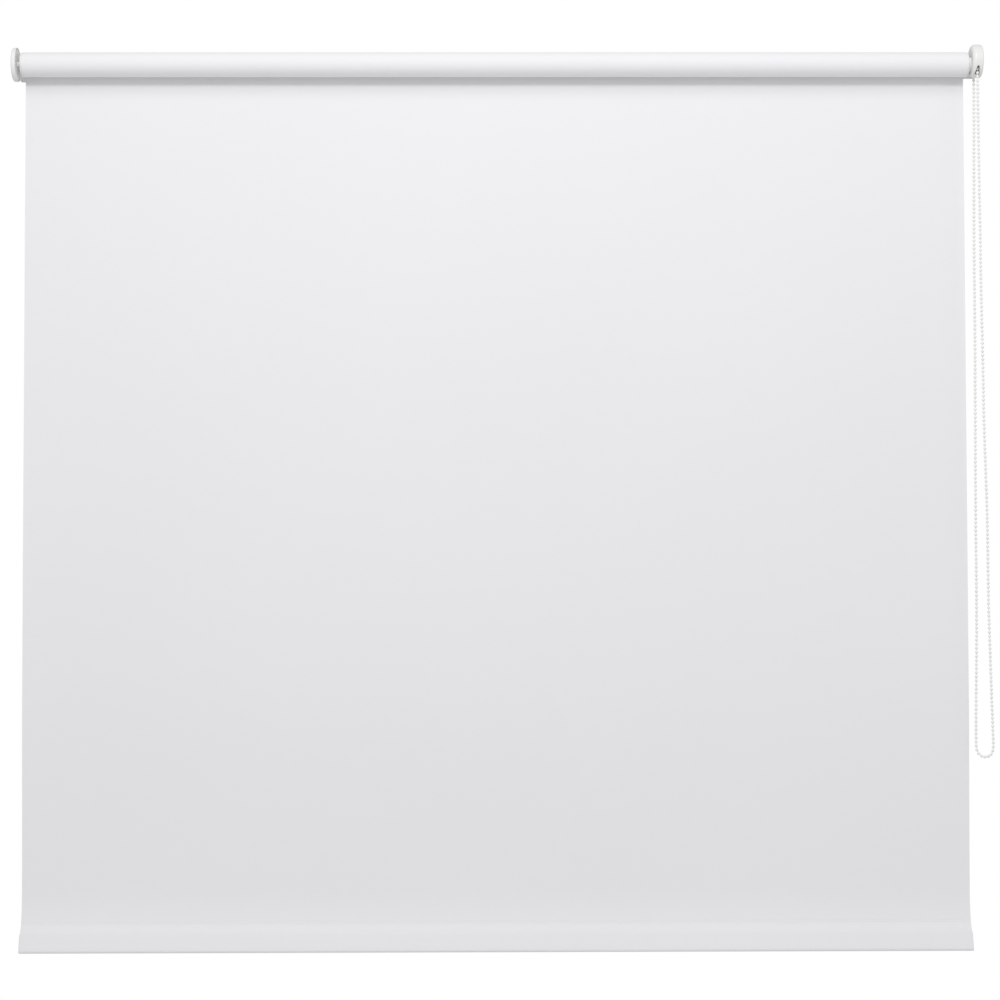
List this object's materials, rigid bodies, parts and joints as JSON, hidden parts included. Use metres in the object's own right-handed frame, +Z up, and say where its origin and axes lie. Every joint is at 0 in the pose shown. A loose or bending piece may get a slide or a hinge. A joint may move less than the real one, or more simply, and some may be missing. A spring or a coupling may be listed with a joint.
{
  "type": "roller blind",
  "caption": "Roller blind with a bead-chain drive at its right end, wall brackets with round caps, a plain fabric off the back of the roll and a weighted hem.",
  "frame": {"origin": "on the wall's face, midway along the fabric's width and level with the tube's axis", "axes": "+X along the tube towards the chain drive, +Y into the wall, +Z up; the room is towards -Y"},
  "size_m": [1.4462, 0.065, 1.3412],
  "materials": {
    "blind_fabric": "smooth closely woven blackout cloth, pale grey",
    "coated_steel": "white powder coat, fine texture",
    "cover_plastic": "white moulded, semi-gloss",
    "guard_plastic": "light grey-white moulded, semi-gloss",
    "bead_plastic": "white moulded beads",
    "mill_aluminium": "extruded, mill finish",
    "plug_plastic": "white moulded, matt",
    "nylon_plastic": "dark grey moulded, matt",
    "spring_steel": "drawn wire, lightly oiled",
    "tape_film": "clear adhesive film"
  },
  "bodies": {
    "fixed": {"left_bracket": "coated_steel", "left_bracket_cover": "cover_plastic", "right_bracket": "coated_steel", "right_bracket_cover": "cover_plastic", "chain_guard": "guard_plastic", "clutch_hub": "nylon_plastic", "hub_washer": "spring_steel", "hub_screw": "spring_steel", "chain_loop": "bead_plastic", "chain_wrap": "bead_plastic", "fabric_drop": "blind_fabric"},
    "roller": {"tube": "mill_aluminium", "fabric_tape": "tape_film", "fabric_roll": "blind_fabric", "drive_sleeve": "plug_plastic", "idle_plug": "plug_plastic", "idle_plug_cap": "nylon_plastic"},
    "wheel": {"chain_wheel": "plug_plastic", "wrap_spring_inner": "spring_steel", "wrap_spring_outer": "spring_steel"},
    "pin": {"idle_pin": "plug_plastic", "pin_clip": "spring_steel", "spring_washer": "spring_steel", "idle_spring": "spring_steel"},
    "hem": {"hem_pocket": "blind_fabric", "bottom_bar": "mill_aluminium", "bar_cap_left": "plug_plastic", "bar_cap_right": "plug_plastic"}
  },
  "joints": [
    {"name": "tube_spin", "type": "hinge", "parent": "fixed", "child": "roller", "pos_m": [0, -0.04, 0], "axis": [1, 0, 0], "range_deg": [0, 3600]},
    {"name": "wheel_spin", "type": "hinge", "parent": "fixed", "child": "wheel", "pos_m": [0, -0.04, 0], "axis": [1, 0, 0], "range_deg": [0, 3600], "deforming": ["chain_wrap"]},
    {"name": "blind_lift", "type": "slide", "parent": "fixed", "child": "hem", "axis": [0, 0, 1], "range_m": [0, 1.2405], "deforming": ["fabric_drop"]},
    {"name": "idle_pin_slide", "type": "slide", "parent": "roller", "child": "pin", "axis": [1, 0, 0], "range_m": [0, 0.007], "stiffness_N_per_m": 600, "springref_m": -0.005, "deforming": ["idle_spring"]}
  ],
  "couplings": [
    {"joint": "wheel_spin", "follows": "tube_spin", "ratio": 1},
    {"joint": "blind_lift", "follows": "tube_spin", "m_per_rad": 0.01974}
  ]
}
